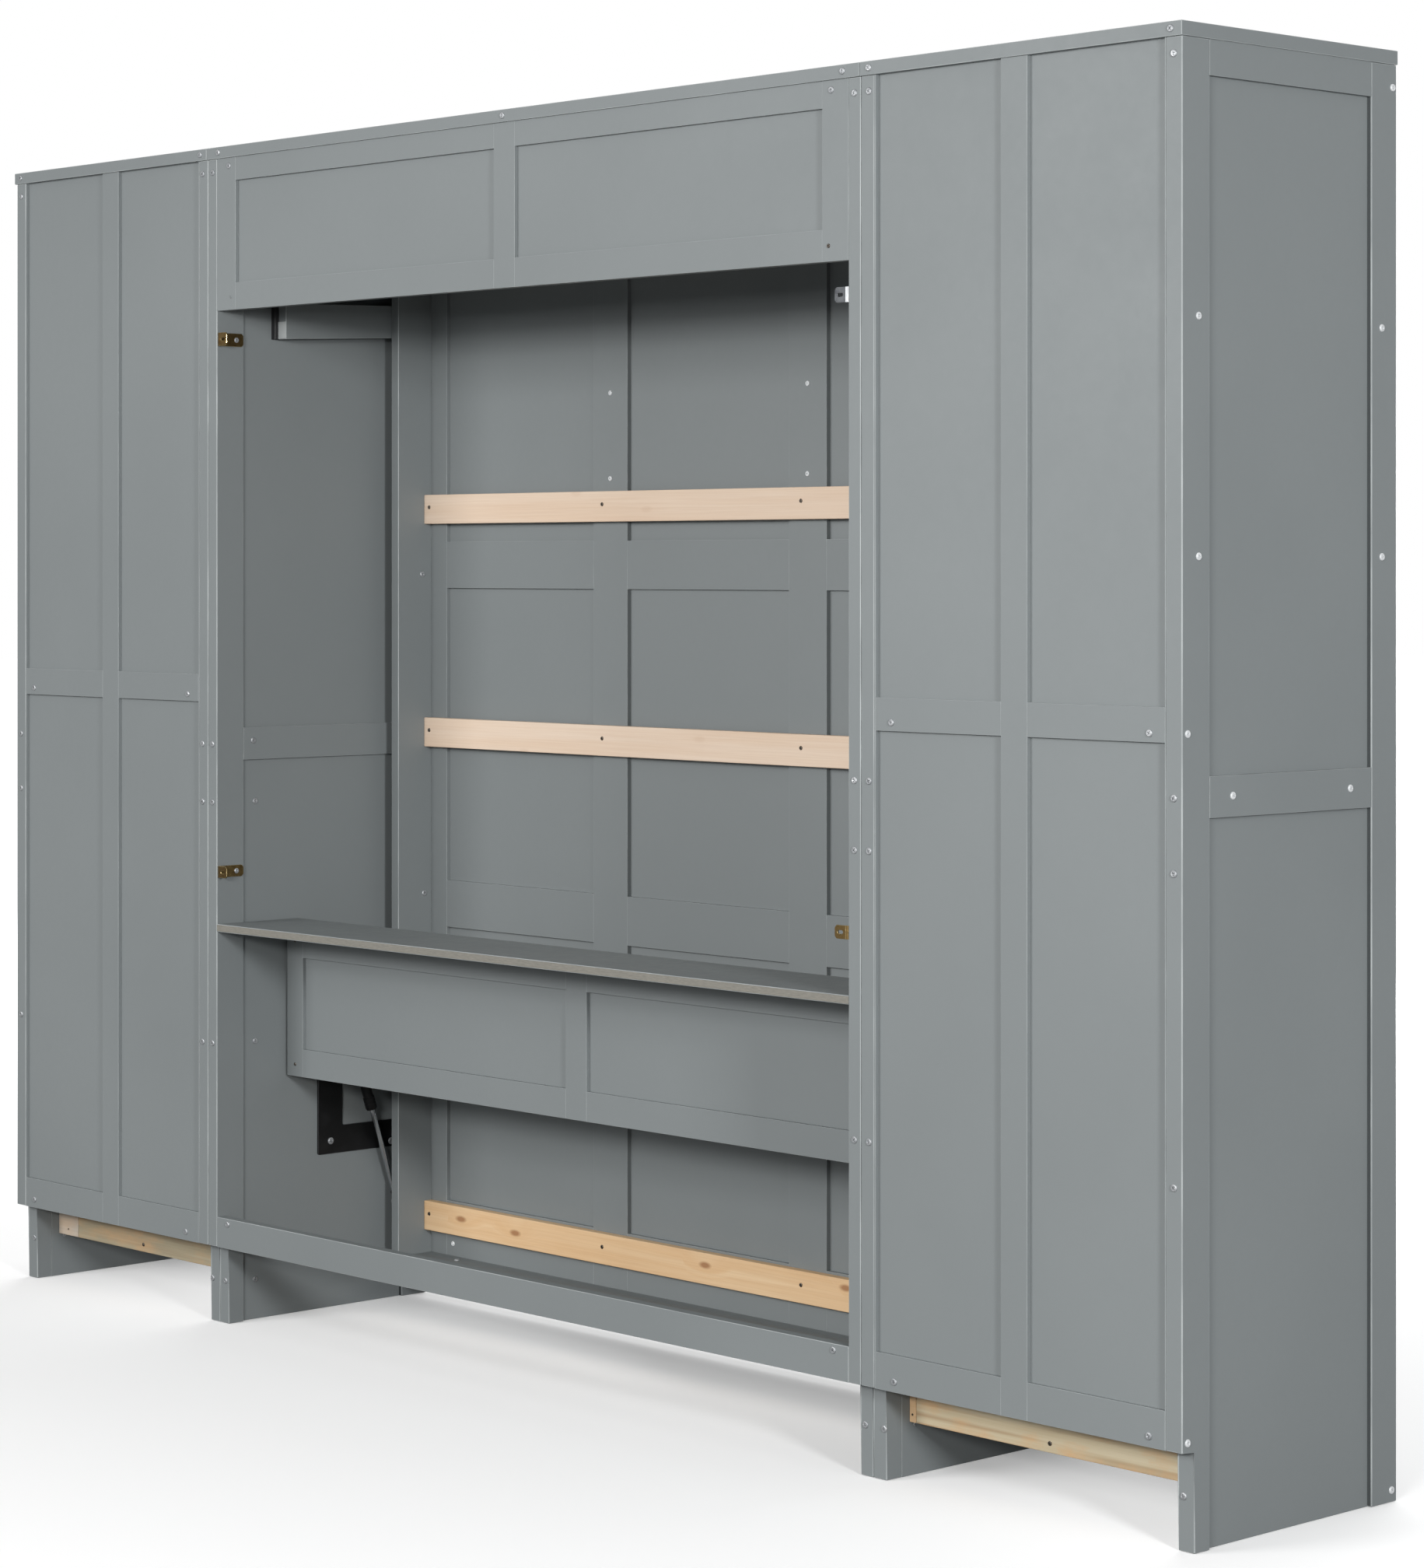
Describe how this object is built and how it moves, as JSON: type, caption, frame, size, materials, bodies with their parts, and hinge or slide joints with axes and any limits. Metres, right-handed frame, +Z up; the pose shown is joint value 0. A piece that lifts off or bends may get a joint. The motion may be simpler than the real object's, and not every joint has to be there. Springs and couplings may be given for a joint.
{
  "type": "murphy wall bed",
  "caption": "Queen-size fold-down wall bed in a shaker-style cabinet with a storage tower on each side, gas struts, a headboard shelf and an open back.",
  "frame": {"origin": "centre of the bounding box footprint, on the floor", "axes": "+X along the wall, +Y towards the wall (the bed folds out towards -Y), +Z up"},
  "size_m": [2.955, 0.523, 2.15],
  "materials": {
    "grey_paint": "satin neutral grey paint on board",
    "pine": "raw pale pine",
    "black_steel": "black powder coat",
    "silver_zinc": "bright zinc plate",
    "yellow_zinc": "yellow zinc plate",
    "chrome_rod": "polished rod"
  },
  "bodies": {
    "cabinet": {"center_side_left": "grey_paint", "center_side_right": "grey_paint", "center_top": "grey_paint", "rear_header": "grey_paint", "headboard_shelf": "grey_paint", "headboard_panel": "grey_paint", "rear_bottom_rail": "grey_paint", "front_toe_rail": "grey_paint", "wall_bracket_upper_left": "silver_zinc", "wall_bracket_upper_right": "yellow_zinc", "wall_bracket_lower_left": "yellow_zinc", "wall_bracket_lower_right": "yellow_zinc", "mechanism_plate_left": "black_steel", "stop_cleat_left": "grey_paint", "mechanism_plate_right": "black_steel", "stop_cleat_right": "grey_paint", "left_tower_outer_side": "grey_paint", "left_tower_inner_side": "grey_paint", "left_tower_top": "grey_paint", "left_tower_back": "grey_paint", "left_tower_bottom": "grey_paint", "left_tower_divider": "grey_paint", "left_tower_shelf_lower": "grey_paint", "left_tower_shelf_upper": "grey_paint", "left_tower_pine_rail": "pine", "right_tower_outer_side": "grey_paint", "right_tower_inner_side": "grey_paint", "right_tower_top": "grey_paint", "right_tower_back": "grey_paint", "right_tower_bottom": "grey_paint", "right_tower_divider": "grey_paint", "right_tower_shelf_lower": "grey_paint", "right_tower_shelf_upper": "grey_paint", "right_tower_pine_rail": "pine"},
    "bed": {"bed_front_panel": "grey_paint", "bed_rail_left": "grey_paint", "bed_rail_right": "grey_paint", "bed_head_rail": "grey_paint", "bed_foot_rail": "grey_paint", "bed_slat_1": "pine", "bed_slat_2": "pine", "bed_slat_3": "pine", "bed_slat_4": "pine", "bed_slat_5": "pine", "bed_handle_left": "silver_zinc", "bed_handle_right": "silver_zinc"},
    "leg_frame": {"bed_leg_frame": "black_steel"},
    "left_strut_tube": {"strut_tube_left": "black_steel"},
    "left_strut_rod": {"strut_rod_left": "chrome_rod"},
    "left_drawer": {"left_tower_drawer": "grey_paint", "left_tower_drawer_handle": "silver_zinc"},
    "left_door": {"left_tower_door": "grey_paint", "left_tower_door_handle": "silver_zinc"},
    "right_strut_tube": {"strut_tube_right": "black_steel"},
    "right_strut_rod": {"strut_rod_right": "chrome_rod"},
    "right_drawer": {"right_tower_drawer": "grey_paint", "right_tower_drawer_handle": "silver_zinc"},
    "right_door": {"right_tower_door": "grey_paint", "right_tower_door_handle": "silver_zinc"}
  },
  "joints": [
    {"name": "bed_fold", "type": "hinge", "parent": "cabinet", "child": "bed", "pos_m": [0, -0.163, 0.312], "axis": [1, 0, 0], "range_deg": [0, 90], "stiffness_Nm_per_rad": 240, "springref_deg": -8.59},
    {"name": "leg_swing", "type": "hinge", "parent": "bed", "child": "leg_frame", "pos_m": [0, -0.2435, 2.05], "axis": [-1, 0, 0], "range_deg": [0, 90]},
    {"name": "left_strut_swing", "type": "hinge", "parent": "cabinet", "child": "left_strut_tube", "pos_m": [-0.8, 0.005, 0.64], "axis": [1, 0, 0], "range_deg": [0, 11.76]},
    {"name": "left_strut_stroke", "type": "slide", "parent": "left_strut_tube", "child": "left_strut_rod", "axis": [0, 0.3206, 0.9472], "range_m": [0, 0.1647]},
    {"name": "right_strut_swing", "type": "hinge", "parent": "cabinet", "child": "right_strut_tube", "pos_m": [0.8, 0.005, 0.64], "axis": [1, 0, 0], "range_deg": [0, 11.76]},
    {"name": "right_strut_stroke", "type": "slide", "parent": "right_strut_tube", "child": "right_strut_rod", "axis": [0, 0.3206, 0.9472], "range_m": [0, 0.1647]},
    {"name": "left_drawer_slide", "type": "slide", "parent": "cabinet", "child": "left_drawer", "axis": [0, -1, 0], "range_m": [0, 0.38]},
    {"name": "left_door_swing", "type": "hinge", "parent": "cabinet", "child": "left_door", "pos_m": [-1.4435, -0.2315, 0.5145], "axis": [0, 0, -1], "range_deg": [0, 110]},
    {"name": "right_drawer_slide", "type": "slide", "parent": "cabinet", "child": "right_drawer", "axis": [0, -1, 0], "range_m": [0, 0.38]},
    {"name": "right_door_swing", "type": "hinge", "parent": "cabinet", "child": "right_door", "pos_m": [1.4435, -0.2315, 0.5145], "axis": [0, 0, 1], "range_deg": [0, 110]}
  ],
  "couplings": [
    {"joint": "left_strut_swing", "follows": "bed_fold", "ratio": 0.12511},
    {"joint": "left_strut_stroke", "follows": "bed_fold", "m_per_rad": 0.10421},
    {"joint": "right_strut_swing", "follows": "bed_fold", "ratio": 0.12511},
    {"joint": "right_strut_stroke", "follows": "bed_fold", "m_per_rad": 0.10421}
  ]
}
